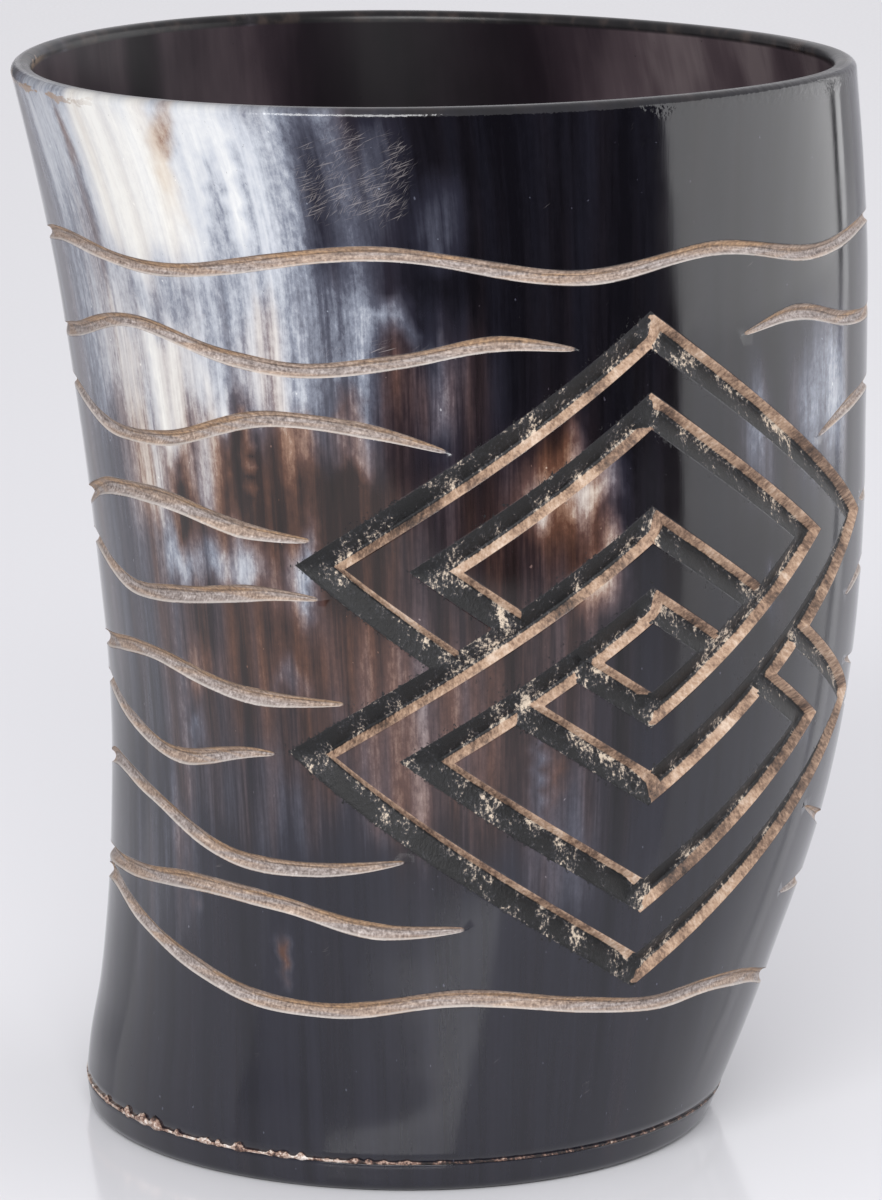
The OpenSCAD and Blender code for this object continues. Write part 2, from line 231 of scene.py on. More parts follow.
# Each wavy line has its half width, whether it goes all the way round, and the places it goes
# through as bearing and height. Bearings above 180 are on the left half of the cup.
WAVES = (
    (0.72, True, (
        (-85, 100.8), (-63, 102.7), (-38, 101.5), (-8, 104.7), (19, 101.6), (39, 103.5),
        (58, 101.4), (80, 102.8), (104, 101.2), (128, 103.4), (151, 101.4), (174, 103.8),
        (198, 101.6), (221, 103.1), (246, 101.2), (275, 100.8),
    )),
    (0.74, False, (
        (43, 93.8), (53, 95.2), (68, 93.0), (81, 92.2), (103, 94.4), (126, 92.2), (150, 95.0),
        (174, 92.4), (198, 95.0), (222, 92.4), (246, 93.8), (262, 91.4), (276, 90.2),
        (294, 91.8), (316, 95.1), (333, 92.6), (341, 91.9), (355, 93.2), (367, 95.0),
        (378, 94.0),
    )),
    (0.78, False, (
        (58, 80.6), (66, 82.6), (80, 84.0), (103, 82.2), (126, 84.6), (150, 82.0), (174, 84.8),
        (198, 82.2), (222, 84.6), (243, 82.2), (262, 83.0), (286, 84.6), (307, 82.0),
        (320, 82.6), (338, 86.4), (350, 85.8), (367, 82.0),
    )),
    (0.92, False, (
        (58, 75.4), (68, 72.6), (80, 71.4), (102, 74.0), (125, 71.6), (149, 74.4), (173, 72.0),
        (197, 74.4), (221, 72.0), (244, 73.4), (264, 70.8), (277, 70.9), (302, 75.0),
        (318, 75.6), (335, 73.6), (347, 73.6), (358, 75.9), (366, 78.0),
    )),
    (0.86, False, (
        (69, 61.6), (78, 63.2), (92, 62.8), (110, 65.4), (131, 63.6), (153, 66.0), (176, 63.6),
        (199, 65.6), (222, 63.2), (245, 64.2), (261, 63.6), (284, 66.8), (308, 64.2),
        (321, 65.2), (338, 67.0), (348, 66.6), (356, 65.0),
    )),
    (0.82, False, (
        (67, 54.4), (77, 53.0), (89, 51.8), (108, 54.0), (130, 51.6), (153, 54.2), (176, 52.2),
        (200, 55.0), (224, 52.6), (248, 54.6), (262, 53.0), (285, 55.2), (312, 57.3),
        (333, 55.2), (349, 55.6),
    )),
    (0.82, False, (
        (75, 48.2), (90, 46.0), (108, 48.4), (130, 46.2), (153, 48.6), (176, 46.6), (200, 49.2),
        (224, 46.6), (246, 48.6), (262, 47.2), (284, 50.4), (300, 48.4), (316, 46.4),
        (334, 48.9), (345, 49.2),
    )),
    (0.8, False, (
        (62, 38.4), (70, 36.0), (88, 32.6), (110, 34.4), (132, 35.8), (155, 34.4), (178, 37.2),
        (201, 35.8), (224, 39.2), (244, 38.4), (268, 38.8), (292, 42.2), (308, 40.8),
        (331, 36.4), (343, 36.6), (360, 39.0),
    )),
    (0.88, False, (
        (60, 28.6), (73, 28.0), (86, 26.0), (108, 28.2), (130, 25.8), (153, 28.0), (176, 26.2),
        (200, 28.6), (224, 26.8), (246, 28.8), (264, 28.6), (286, 30.2), (306, 31.4),
        (321, 32.6), (337, 32.2), (352, 30.2), (364, 30.8),
    )),
    (0.84, True, (
        (-88, 26.2), (-70, 28.2), (-56, 26.2), (-40, 23.2), (-28, 21.1), (-16, 20.7),
        (4, 22.8), (20, 21.2), (32, 20.0), (44, 20.4), (55, 19.4), (69, 16.8), (88, 14.4),
        (110, 16.4), (133, 15.6), (156, 18.8), (180, 18.0), (204, 21.6), (228, 21.4),
        (250, 25.2), (272, 26.2),
    )),
)


def lozenge_reach(bearing, height, upper):
    """Distance outside one lozenge's outline, and how far to the right of its middle a place is."""
    across = np.radians(wrap(bearing - LOZENGE_BEARING)) * mean_radius(height)
    rise = height - LOZENGE_MIDDLE - lozenge_shift(upper)
    spread = np.abs(across) / LOZENGE_HALF_WIDTH + np.abs(rise) / LOZENGE_HALF_HEIGHT
    return (spread - 1.0) * lozenge_slant(), across


def lozenge_shift(upper):
    return LOZENGE_SHIFT if upper else -LOZENGE_SHIFT


def lozenge_slant():
    """Distance from a lozenge's middle to its sides."""
    diagonal = math.hypot(LOZENGE_HALF_WIDTH, LOZENGE_HALF_HEIGHT)
    return LOZENGE_HALF_WIDTH * LOZENGE_HALF_HEIGHT / diagonal


def mean_radius(height):
    return curve_through(outer_skin[0], outer_skin[1][:, 0], np.asarray(height, float))


def outside_ornament(bearing, height):
    upper = lozenge_reach(bearing, height, True)[0]
    lower = lozenge_reach(bearing, height, False)[0]
    return np.minimum(upper, lower)


def wave_spans():
    """Each wavy line as half width, start, end, and its places, cut short before the ornament."""
    spans = []
    for half_width, closed, places in WAVES:
        bearings = np.array([bearing for bearing, height in places], float)
        heights = np.array([height for bearing, height in places], float)
        if closed:
            bearings = np.concatenate([bearings[-6:-1] - 360.0, bearings])
            heights = np.concatenate([heights[-6:-1], heights])
            spans.append((half_width, True, -180.0, 180.0, bearings, heights))
            continue
        trail = np.arange(bearings[0], bearings[-1], 0.25)
        line = curve_through(bearings, heights, trail)
        clear = outside_ornament(trail, line) > CUT_HALF_WIDTH + TIP_GAP
        trail = trail[clear]
        spans.append((half_width, False, trail[0], trail[-1], bearings, heights))
    return spans


def wave_place(span, bearing):
    """Whether each bearing is on the line, its height there, its slope and its half width."""
    half_width, closed, start, end, bearings, heights = span
    bearing = np.asarray(bearing, float)
    if closed:
        turned = wrap(bearing)
        within = np.ones(turned.shape, bool)
    else:
        turned = start + (bearing - start) % 360.0
        within = turned <= end
        turned = np.minimum(turned, end)
    height = curve_through(bearings, heights, turned)
    ahead = curve_through(bearings, heights, turned + 0.5)
    degree = math.radians(1.0) * mean_radius(height)
    slope = (ahead - height) / (0.5 * degree)
    width = np.full(turned.shape, half_width)
    wander = np.sin(np.radians(turned * 9.0 + half_width * 900.0))
    wander = wander + 0.7 * np.sin(np.radians(turned * 23.0 + half_width * 400.0))
    width = width * (1.0 + 0.055 * wander)
    if not closed:
        to_end = np.minimum(turned - start, end - turned) * degree
        width = width * np.sqrt(np.clip(to_end / TIP_LENGTH, 0.0, 1.0) + 0.004)
    return within, height, slope, width


def wave_cut(bearing, height):
    """Depth of the wavy lines, how far inside one a place is, and which wall of it (-1 to 1)."""
    depth = np.zeros(bearing.shape)
    inside = np.zeros(bearing.shape)
    side = np.zeros(bearing.shape)
    for span in WAVE_SPANS:
        within, line, slope, width = wave_place(span, bearing)
        near = within & (np.abs(height - line) < WAVE_REACH)
        offset = (height - line) / np.sqrt(1.0 + slope * slope) / width
        cut = np.clip(1.0 - offset * offset, 0.0, 1.0) ** 0.8
        cut = cut * WAVE_DEPTH * width
        depth = np.where(near, np.maximum(depth, cut), depth)
        reach = np.clip((WAVE_SPREAD - np.abs(offset)) / WAVE_FADE, 0.0, 1.0)
        reach = reach * smooth_step(0.08, 0.25, width / span[0])
        inside = np.where(near & (reach > inside), reach, inside)
        side = np.where(near & (reach > 0.0), offset, side)
    return depth, inside, side


def cut_profile(distance, across):
    """Depth of one straight cut, where between its two edges a place lies (-1 to 1), and how far it
    lies to the right of the bottom."""
    offset = distance / CUT_HALF_WIDTH
    bottom = CUT_LEAN * np.clip(across / CORNER_BLEND, -1.0, 1.0)
    outer = (1.0 - offset) / (1.0 - bottom)
    inner = (1.0 + offset) / (1.0 + bottom)
    depth = CUT_DEPTH * np.clip(np.minimum(outer, inner), 0.0, 1.0)
    return depth, offset, (offset - bottom) * np.sign(across)


def lozenge_cut(bearing, height):
    """Depth of the ornament, how far inside a cut a place is, the side of the cut, and its dust."""
    reaches = [lozenge_reach(bearing, height, upper) for upper in (True, False)]
    depth = np.zeros(bearing.shape)
    inside = np.zeros(bearing.shape)
    facet = np.zeros(bearing.shape)
    dust = np.zeros(bearing.shape)
    for own, other, upper in ((0, 1, True), (1, 0, False)):
        distance, across = reaches[own]
        over = across > 0.0 if upper else across < 0.0
        buried = (reaches[other][0] < 0.0) & (reaches[other][0] > -BAND_WIDTH)
        open_here = over | ~buried
        for edge in (0.0, -BAND_WIDTH):
            cut, offset, lean = cut_profile(distance - edge, across)
            cut = np.where(open_here, cut, 0.0)
            deeper = cut > depth
            reach = np.clip((CUT_SPREAD - np.abs(offset)) / CUT_FADE, 0.0, 1.0)
            reach = np.where(open_here, reach, 0.0)
            # The wall on the right of a cut faces left and is the narrow one
            facet = np.where(deeper | (reach > inside), lean, facet)
            inside = np.maximum(inside, reach)
            depth = np.maximum(depth, cut)
            spill = 1.0 - smooth_step(1.0, 1.4, np.abs(offset))
            spill = spill * (0.3 + 0.7 * smooth_step(0.3, -0.3, lean))
            dust = np.maximum(dust, np.where(open_here, spill, 0.0))
    return depth, inside, facet, dust


def horn_surface(bearing, height):
    """Places on the outside of the horn, with the carving cut into it."""
    plain = plain_horn(bearing, height)
    inward = -normals_of(plain_horn, bearing, height, 0.3)
    depth = np.maximum(wave_cut(bearing, height)[0], lozenge_cut(bearing, height)[0])
    return plain + inward * depth[:, None]


def plain_horn(bearing, height):
    radius = skin_radius(outer_skin, bearing, height) - SKIN_INSET
    return place(bearing, height, radius)


# Points of the outside

def wave_lines():
    """Rows of places along each wavy line, as bearings and heights."""
    rows = []
    for span in WAVE_SPANS:
        half_width, closed, start, end, bearings, heights = span
        count = int((end - start) * 0.8 / WAVE_STEP)
        stations = np.linspace(start, end, count + 1)
        if closed:
            stations = stations[:-1]
        within, line, slope, width = wave_place(span, stations)
        stretch = np.sqrt(1.0 + slope * slope)
        degree = math.radians(1.0) * mean_radius(line)
        for offset in WAVE_OFFSETS:
            shift = offset * width
            row_bearing = stations - shift * slope / stretch / degree
            row_height = line + shift / stretch
            rows.append((row_bearing, row_height, closed))
    return rows


def lozenge_lines():
    """Rows of places along the ornament's cuts. A place hidden under the other band is left out."""
    lines = [(offset, 0.0) for offset in CUT_OFFSETS]
    lines += [(offset, CUT_LEAN) for offset in BOTTOM_OFFSETS]
    rows = []
    for upper in (True, False):
        for edge in (0.0, -BAND_WIDTH):
            for offset, lean in lines:
                rows.extend(lozenge_row(upper, edge, offset, lean))
    return rows


def lozenge_row(upper, edge, offset, lean):
    """One line along a cut, in four straight runs. With a lean it follows the cut's bottom."""
    rows = []
    corners = ((0, 1), (1, 0), (0, -1), (-1, 0), (0, 1))
    for start, end in zip(corners[:-1], corners[1:]):
        right = 1.0 if start[0] + end[0] > 0 else -1.0
        away = edge + (lean * right + offset) * CUT_HALF_WIDTH
        size = 1.0 + away / lozenge_slant()
        length = size * math.hypot(LOZENGE_HALF_WIDTH, LOZENGE_HALF_HEIGHT)
        share = np.linspace(0.0, 1.0, max(int(length / CUT_STEP), 2) + 1)
        across = (start[0] + (end[0] - start[0]) * share) * LOZENGE_HALF_WIDTH * size
        rise = (start[1] + (end[1] - start[1]) * share) * LOZENGE_HALF_HEIGHT * size
        if lean:
            keep = np.abs(across) > CORNER_BLEND
            across = across[keep]
            rise = rise[keep]
        height = LOZENGE_MIDDLE + lozenge_shift(upper) + rise
        bearing = LOZENGE_BEARING + np.degrees(across / mean_radius(height))
        other = lozenge_reach(bearing, height, not upper)[0]
        over = across > 0.0 if upper else across < 0.0
        shown = over | (other > -0.2) | (other < 0.2 - BAND_WIDTH)
        rows.append((bearing, height, shown))
    return rows


def loop_bearings(count=LOOP_POINTS):
    return -180.0 + 360.0 * np.arange(count) / count


def grid_places():
    """Even places over the plain parts of the surface, clear of the carved lines."""
    bearings = []
    heights = []
    rows = int((LIP_LOW - HORN_LOW) / GRID_STEP)
    for row in range(1, rows):
        start = 0.5 * (row % 2)
        ring = (np.arange(GRID_POINTS) + start) * 360.0 / GRID_POINTS
        bearings.append(wrap(ring))
        heights.append(np.full(GRID_POINTS, HORN_LOW + (LIP_LOW - HORN_LOW) * row / rows))
    bearing = np.concatenate(bearings)
    height = np.concatenate(heights)
    keep = np.ones(bearing.shape, bool)
    for span in WAVE_SPANS:
        within, line, slope, width = wave_place(span, bearing)
        offset = np.abs(height - line) / np.sqrt(1.0 + slope * slope)
        keep = keep & ~(within & (offset < WAVE_SPREAD * width + WAVE_CLEAR))
    for upper in (True, False):
        distance = lozenge_reach(bearing, height, upper)[0]
        for edge in (0.0, -BAND_WIDTH):
            keep = keep & ~(np.abs(distance - edge) < CUT_SPREAD * CUT_HALF_WIDTH + CUT_CLEAR)
    return bearing[keep], height[keep]


def lay_flat(bearing, height):
    reach = np.exp(np.asarray(height, float) / LAYOUT_SCALE)
    angle = np.radians(np.asarray(bearing, float))
    return np.stack([reach * np.cos(angle), reach * np.sin(angle)], axis=1)


def lift_back(points):
    height = LAYOUT_SCALE * np.log(np.hypot(points[:, 0], points[:, 1]))
    bearing = np.degrees(np.arctan2(points[:, 1], points[:, 0]))
    return bearing, height


def outside_triangles():
    """Bearings, heights and triangles of the outside of the horn."""
    points = []
    edges = []
    count = 0

    def add_row(bearing, height, closed):
        nonlocal count
        points.append(lay_flat(bearing, height))
        size = len(bearing)
        for index in range(size if closed else size - 1):
            edges.append((count + index, count + (index + 1) % size))
        count += size

    loop = loop_bearings()
    for height in (HORN_LOW, LIP_LOW):
        add_row(loop, np.full(LOOP_POINTS, height), True)
    for bearing, height, closed in wave_lines():
        add_row(bearing, height, closed)
    for bearing, height, shown in lozenge_lines():
        runs = np.split(np.arange(len(shown)), np.flatnonzero(np.diff(shown.astype(int))) + 1)
        for run in runs:
            if shown[run[0]] and len(run) > 1:
                add_row(bearing[run], height[run], False)
    bearing, height = grid_places()
    points.append(lay_flat(bearing, height))
    flat = np.concatenate(points)
    made = delaunay_2d_cdt([Vector(point) for point in flat], edges, [], 0, 1e-5, False)
    corners = np.array([vertex[:] for vertex in made[0]])
    triangles = np.array(made[2])
    bearing, height = lift_back(corners)
    height = np.clip(height, HORN_LOW, LIP_LOW)
    hole = (height[triangles] < HORN_LOW + 0.001).all(axis=1)
    triangles = triangles[~hole]
    first, second, third = (corners[triangles[:, k]] for k in range(3))
    turn = np.cross(second - first, third - first)
    triangles[turn > 0] = triangles[turn > 0][:, ::-1]
    return bearing, height, triangles


# Colour of the horn

# Patches of the horn's colour, painted in this order: bearing, height, half width in degrees, half
# height, paleness (0 to 1), warmth (0 blue-grey to 1 brown), streakiness and softness of the edge
PATCHES = (
    # Dark brown middle of the front and left
    (-20, 62, 44, 26, 0.22, 0.72, 0.38, 0.5),
    (-62, 70, 34, 30, 0.28, 0.4, 0.35, 0.6),
    (-50, 34, 22, 14, 0.22, 0.2, 0.3, 0.8),
    (8, 58, 22, 28, 0.18, 0.6, 0.38, 0.5),
    # Pale field of the upper left
    (-42, 105, 29, 21, 0.66, 0.2, 0.36, 0.35),
    (-62, 101, 9, 24, 0.56, 0.32, 0.42, 0.5),
    (-76, 98, 14, 28, 0.32, 0.3, 0.5, 0.6),
    (-60, 113, 4, 9, 0.8, 0.0, 0.4, 0.8),
    (-42, 112, 14, 14, 0.98, 0.42, 0.26, 0.6),
    (-28, 113, 6, 11, 0.9, 0.1, 0.3, 0.6),
    (-19.4, 109, 4.2, 14, 0.67, 0.0, 0.44, 0.6),
    (-17, 119, 6, 7, 0.8, 0.0, 0.34, 0.9),
    (-53, 106, 3.6, 16, 0.48, 0.4, 0.42, 0.9),
    (-27, 104, 1.5, 14, 0.6, 0.0, 0.45, 0.6),
    (-22, 106, 1.2, 16, 0.64, 0.0, 0.45, 0.6),
    (-56, 115, 1.8, 6, 0.5, 0.7, 0.4, 0.8),
    (-34, 111, 2.0, 7, 0.86, 0.9, 0.15, 0.9),
    (-35, 117, 1.9, 3.8, 0.64, 1.0, 0.12, 0.7),
    (-38, 88, 9, 9, 0.92, 0.45, 0.45, 0.7),
    (-30, 86, 4, 5, 0.8, 0.35, 0.5, 0.8),
    (-48, 89, 7, 10, 0.68, 0.4, 0.6, 0.7),
    (-21, 92, 8, 11, 0.65, 0.4, 0.6, 0.7),
    # Blue haze between the pale field and the black
    (-11, 111, 8, 11, 0.27, 0.05, 0.28, 0.7),
    (-11, 95, 9, 13, 0.54, 0.0, 0.6, 0.7),
    (0, 90, 7, 9, 0.31, 0.6, 0.55, 0.8),
    (-5, 97, 4, 2.5, 0.6, 0.0, 0.6, 1.0),
    (0, 107, 5, 8, 0.24, 0.1, 0.35, 0.9),
    # Brown zone under the pale field, with pale streaks that hang into it
    (-24, 74, 25, 11, 0.16, 1.0, 0.38, 0.6),
    (-45, 79, 9, 9, 0.68, 0.65, 0.65, 0.8),
    (-33, 80, 3, 8, 0.66, 0.6, 0.6, 0.8),
    (-25, 81, 1.6, 7, 0.56, 0.7, 0.6, 0.8),
    (-17, 83, 4, 4.5, 0.4, 0.9, 0.6, 0.8),
    (-10, 85, 7, 4, 0.48, 0.5, 0.65, 0.8),
    # Pale blue haze over the brown
    (-38, 69.5, 12, 5, 0.66, 0.22, 0.5, 0.9),
    (-28, 70, 8, 5.5, 0.68, 0.22, 0.55, 0.9),
    (-19, 70, 5, 6, 0.6, 0.15, 0.75, 1.0),
    (-20, 60, 24, 7, 0.25, 0.84, 0.48, 0.8),
    (-46, 50, 18, 9, 0.24, 0.35, 0.4, 0.9),
    (-37, 50, 2.4, 5, 0.48, 0.1, 0.6, 1.0),
    (-36, 58, 6, 4, 0.46, 0.8, 0.55, 1.0),
    (-22, 56, 4, 5, 0.42, 0.45, 0.65, 1.0),
    (-28, 44, 18, 8, 0.22, 0.35, 0.35, 0.9),
    (-44, 37, 6, 5, 0.36, 0.35, 0.45, 1.0),
    # Inside the ornament
    (-2, 54, 13, 13, 0.4, 0.6, 0.5, 0.8),
    (-4, 45, 8, 7, 0.38, 0.6, 0.5, 0.9),
    (13, 79, 8, 12, 0.2, 0.95, 0.5, 0.8),
    (19, 79, 7, 6.0, 0.72, 0.55, 0.5, 1.0),
    (11, 78, 6, 7, 0.64, 0.6, 0.6, 1.0),
    (21, 70, 4.5, 5, 0.72, 0.75, 0.5, 1.0),
    (13, 47, 2.5, 7, 0.4, 0.1, 0.5, 1.0),
    (17, 46, 2, 7, 0.36, 0.8, 0.5, 1.0),
    (15, 40, 9, 9, 0.26, 0.3, 0.35, 0.9),
    # Right side
    (62, 85, 10, 15, 0.64, 0.0, 0.42, 1.0),
    (47, 82, 6, 12, 0.46, 0.1, 0.6, 1.0),
    (47, 66, 3, 4, 0.36, 0.0, 0.7, 1.0),
    (57, 47, 4, 5, 0.26, 0.0, 0.6, 1.0),
    # Small spots low on the left
    (-22, 27, 1.6, 2.8, 0.34, 1.0, 0.35, 1.0),
    (-38, 28.6, 1.5, 1.4, 0.45, 0.9, 0.5, 1.0),
    # Back
    (-125, 92, 30, 26, 0.46, 0.45, 0.6, 0.5),
    (-100, 108, 10, 14, 0.62, 0.15, 0.6, 0.6),
    (-150, 104, 12, 16, 0.7, 0.2, 0.55, 0.5),
    (-118, 60, 26, 14, 0.28, 0.8, 0.5, 0.6),
    (170, 86, 24, 24, 0.32, 0.75, 0.55, 0.6),
    (140, 100, 10, 16, 0.5, 0.1, 0.6, 0.6),
    (105, 90, 14, 22, 0.26, 0.3, 0.5, 0.7),
)


def fibre_bearing(bearing, height):
    """Where the fibre through a place crosses the height at which the fibres are counted."""
    away = np.radians(wrap(bearing - FIBRE_BEARING)) / 2.0
    rise = height - FIBRE_HEIGHT
    spread = FIBRE_SPREAD * rise + RIM_SPREAD * np.maximum(height - 95.0, 0.0) ** 2
    turned = np.arctan2(np.sin(away) * np.exp(-spread), np.cos(away))
    return FIBRE_BEARING + np.degrees(2.0 * turned)


def fibre_places(bearing, height):
    """Places in a straightened horn, whose fibres all stand upright."""
    fibre = np.radians(fibre_bearing(bearing, height))
    across = FIBRE_RADIUS * np.cos(fibre)
    return np.stack([across, FIBRE_RADIUS * np.sin(fibre), height + 0.0 * fibre], axis=1)


def uneven(around, height, width, length, seed):
    """Smooth noise of about -1 to 1 in grains of a width round the cup and a length up it."""
    values = np.empty(len(height))
    for index in range(len(height)):
        spot = Vector((around[index, 0] / width, around[index, 1] / width, 0.0))
        spot.z = height[index] / length + seed * 13.7
        values[index] = noise.noise(spot)
    return values * 1.5


def horn_look(bearing, height):
    """Paleness, warmth and streakiness of the horn."""
    fibre = fibre_bearing(bearing, height)
    rise = smooth_step(30.0, 80.0, height)
    angle = np.radians(fibre)
    around = np.stack([np.cos(angle), np.sin(angle)], axis=1) * FIBRE_RADIUS
    fibre = fibre + PATCH_WANDER * uneven(around, height, 6.0, 30.0, 1.0)
    height = height + PATCH_REACH * uneven(around, height, 2.6, 9.0, 2.0)
    paleness = 0.11 - 0.09 * rise
    warmth = 0.10 + 0.20 * rise
    streaks = 0.12 - 0.02 * rise
    for spot, level, half_width, half_height, pale, warm, streaky, soft in PATCHES:
        middle = fibre_bearing(np.array([spot], float), np.array([level], float))[0]
        sideways = np.abs(wrap(fibre - middle)) / half_width
        upright = np.abs(height - level) / half_height
        weight = smooth_step(0.0, soft, 1.0 - sideways) * smooth_step(0.0, soft, 1.0 - upright)
        paleness = paleness + (pale - paleness) * weight
        warmth = warmth + (warm - warmth) * weight
        streaks = streaks + (streaky - streaks) * weight
    return np.stack([paleness, warmth, streaks], axis=1)


# Meshes

def add_piece(name, points, faces, material, replaced=None):
    """A mesh piece of the cup, from points in millimetres."""
    mesh = bpy.data.meshes.new(name)
    mesh.from_pydata((np.asarray(points) * MM).tolist(), [], faces)
    mesh.validate()
    mesh.polygons.foreach_set("use_smooth", [True] * len(mesh.polygons))
    mesh.materials.append(material)
    mesh.update()
    piece = bpy.data.objects.new(name, mesh)
    bpy.context.scene.collection.objects.link(piece)
    if replaced:
        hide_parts(replaced)
        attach(piece, "root")
    return piece


def add_vectors(piece, name, values):
    """One vector for each point of the piece, for its material to read."""
    layer = piece.data.attributes.new(name, "FLOAT_VECTOR", "POINT")
    layer.data.foreach_set("vector", np.asarray(values, np.float32).ravel())


def stack_rings(loop, rings, count=0):
    """Points and heights of rings given by radius and height, and each ring's point numbers."""
    size = len(loop)
    points = np.concatenate([place(loop, height, radius) for radius, height in rings])
    heights = np.concatenate([np.broadcast_to(height, size) for radius, height in rings])
    starts = range(count, count + size * len(rings), size)
    return points, heights, [list(range(start, start + size)) for start in starts]


def join_rings(numbers, flipped=False):
    """Faces between each ring of point numbers and the following one."""
    faces = []
    for first, second in zip(numbers[:-1], numbers[1:]):
        for index in range(len(first)):
            following = (index + 1) % len(first)
            face = (first[index], first[following], second[following], second[index])
            faces.append(face[::-1] if flipped else face)
    return faces


def grid_faces(rows, columns):
    """Faces of a grid whose points are numbered along each row."""
    faces = []
    for row in range(rows):
        for column in range(columns):
            corner = row * (columns + 1) + column
            faces.append((corner, corner + 1, corner + columns + 2, corner + columns + 1))
    return faces


def lip_profile(outer, inner):
    """Rings of radius and height over the lip, from its outside to its inside."""
    rings = []
    for step in range(1, LIP_STEPS + 1):
        angle = 0.5 * math.pi * step / LIP_STEPS
        out = outer - LIP_RADIUS * (1.0 - math.cos(angle))
        rings.append((out, LIP_LOW + (RIM - LIP_LOW) * math.sin(angle)))
    rings.append(((outer - LIP_RADIUS + inner + LIP_RADIUS) / 2.0, RIM))
    for step in range(LIP_STEPS + 1):
        angle = 0.5 * math.pi * (1.0 - step / LIP_STEPS)
        out = inner + LIP_RADIUS * (1.0 - math.cos(angle))
        rings.append((out, LIP_LOW + (RIM - LIP_LOW) * math.sin(angle)))
    return rings


def horn_inside(loop):
    """Rings of radius and height down the inside of the horn and its bore."""
    rings = []
    for height in np.linspace(LIP_LOW - 0.4, BEAD_TOP, INSIDE_RINGS):
        rings.append((skin_radius(inner_skin, loop, height), height))
    bore = skin_radius(bore_skin, loop, HORN_LOW)
    return rings + [(bore, PLUG_TOP), (bore, HORN_LOW)]


def build_horn(material):
    """The carved horn wall: its outside, its lip, its inside and its bore."""
    bearing, height, triangles = outside_triangles()
    points = horn_surface(bearing, height)
    normals = normals_of(horn_surface, bearing, height)
    loop = loop_bearings()
    top = ring_at(bearing, height > LIP_LOW - 0.001)
    low = ring_at(bearing, height < HORN_LOW + 0.001)
    outer = skin_radius(outer_skin, loop, LIP_LOW) - SKIN_INSET
    rings = lip_profile(outer, skin_radius(inner_skin, loop, LIP_LOW)) + horn_inside(loop)
    ring_points, ring_heights, numbers = stack_rings(loop, rings, len(points))
    faces = triangles.tolist() + join_rings([top] + numbers + [low])
    horn = add_piece("carved_horn_wall", np.concatenate([points, ring_points]), faces, material,
                     "horn_wall")
    bearing = np.concatenate([bearing, np.tile(loop, len(rings))])
    paint_horn(horn, bearing, np.concatenate([height, ring_heights]), len(points))
    fixed = np.zeros((len(bearing), 3))
    fixed[:len(points)] = normals
    fixed[top + low] = 0.0
    horn.data.normals_split_custom_set_from_vertices(fixed.tolist())


def ring_at(bearing, chosen):
    """Numbers of the chosen points in order of bearing, starting from the back."""
    numbers = np.flatnonzero(chosen)
    turned = (bearing[numbers] + 180.0 + 0.2) % 360.0
    return numbers[np.argsort(turned)].tolist()


def paint_horn(horn, bearing, height, outside_count):
    """Writes what the horn's material reads onto the horn's points."""
    number = np.arange(len(bearing))
    outside = number < outside_count
    lip = ~outside & (height > LIP_LOW - 0.2)
    within = ~outside & ~lip
    add_vectors(horn, "fibre", fibre_places(bearing, height))
    add_vectors(horn, "look", horn_look(bearing, np.minimum(height, LIP_LOW)))
    depth, inside, side = wave_cut(bearing, height)
    along = np.radians(bearing) * FIBRE_RADIUS
    add_vectors(horn, "wave", np.stack([np.where(outside, inside, 0.0), side, along], axis=1))
    depth, inside, facet, dust = lozenge_cut(bearing, height)
    shown = np.where(outside, inside, 0.0)
    dust = np.where(outside, dust, 0.0)
    add_vectors(horn, "cut", np.stack([shown, facet, dust], axis=1))
    scuffed = np.where(outside, scuffs(bearing, height), 0.0)
    ring = (number - outside_count) // LOOP_POINTS
    lip_share = np.interp(ring, (0.0, LIP_STEPS / 2.0, LIP_STEPS), (0.1, 0.4, 1.0))
    lip_share = np.where(lip, lip_share, 0.0)
    add_vectors(horn, "part", np.stack([within.astype(float), lip_share, scuffed], axis=1))


def scuffs(bearing, height):
    """How scuffed the outside is, from the scuffed places."""
    amount = np.zeros(bearing.shape)
    for middle, level, half_width, half_height, most in SCUFFS:
        sideways = wrap(bearing - middle) / half_width
        away = np.sqrt(sideways ** 2 + ((height - level) / half_height) ** 2)
        amount = np.maximum(amount, most * smooth_step(1.0, 0.4, away))
    return amount


def build_disc(material):
    """The horn disc under the cup, with the plug that fits the bore."""
    loop = loop_bearings()
    foot = disc_radius(loop, 0.0)
    rings = [(foot * share, 0.0) for share in (0.02, 0.2, 0.4, 0.6, 0.8, 0.93)]
    for step in range(9):
        rise = DISC_EDGE_RADIUS * (1.0 - math.cos(0.5 * math.pi * step / 8))
        rings.append((disc_radius(loop, rise), rise))
    for height in (1.6, 2.2, 2.8, DISC_TOP - 0.14):
        rings.append((disc_radius(loop, height), height))
    top = disc_radius(loop, DISC_TOP)
    plug = skin_radius(plug_skin, loop, DISC_TOP)
    rings += [(top - 0.06, DISC_TOP - 0.03), (top - 0.2, DISC_TOP), (plug, DISC_TOP)]
    rings += [(plug, height) for height in (5.2, 7.0, PLUG_TOP)]
    rings += [(plug * share, PLUG_TOP) for share in (0.95, 0.8, 0.6, 0.4, 0.2, 0.02)]
    points, heights, numbers = stack_rings(loop, rings)
    faces = join_rings(numbers) + [tuple(numbers[0])[::-1], tuple(numbers[-1])]
    disc = add_piece("foot_horn_disc", points, faces, material, "foot_disc")
    bearing = np.tile(loop, len(rings))
    add_vectors(disc, "fibre", fibre_places(bearing, heights))
    add_vectors(disc, "look", horn_look(bearing, heights))


